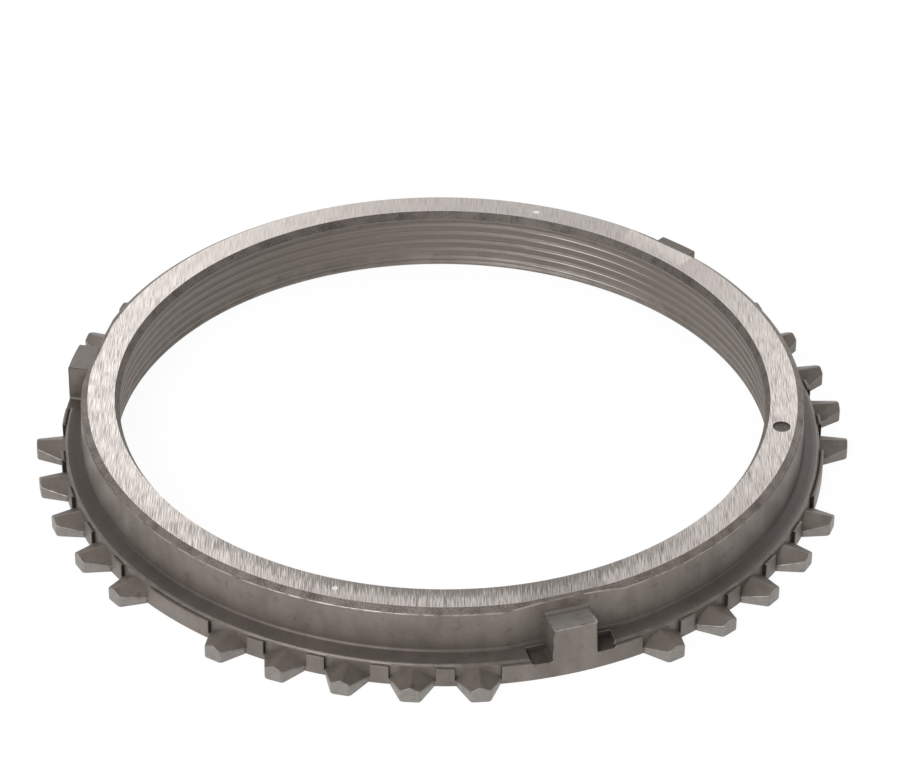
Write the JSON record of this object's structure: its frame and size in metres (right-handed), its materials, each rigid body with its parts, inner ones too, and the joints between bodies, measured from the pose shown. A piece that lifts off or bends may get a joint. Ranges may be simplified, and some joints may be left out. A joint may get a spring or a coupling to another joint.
{
  "type": "synchronizer ring",
  "caption": "Low steel ring with a ridged friction cone in its bore, pointed blocker teeth round its foot and driving lugs on its wall.",
  "frame": {"origin": "on the ring's axis, in the plane of the toothed foot, where the friction cone is widest", "axes": "+Z along the ring's axis from the toothed foot to the ground top face; the first driving lug stands on -Y"},
  "size_m": [0.138, 0.1356, 0.012],
  "materials": {
    "forged_steel": "grey-brown satin steel with a brighter ground top face"
  },
  "bodies": {
    "root": {"synchronizer_ring": "forged_steel"}
  },
  "joints": []
}
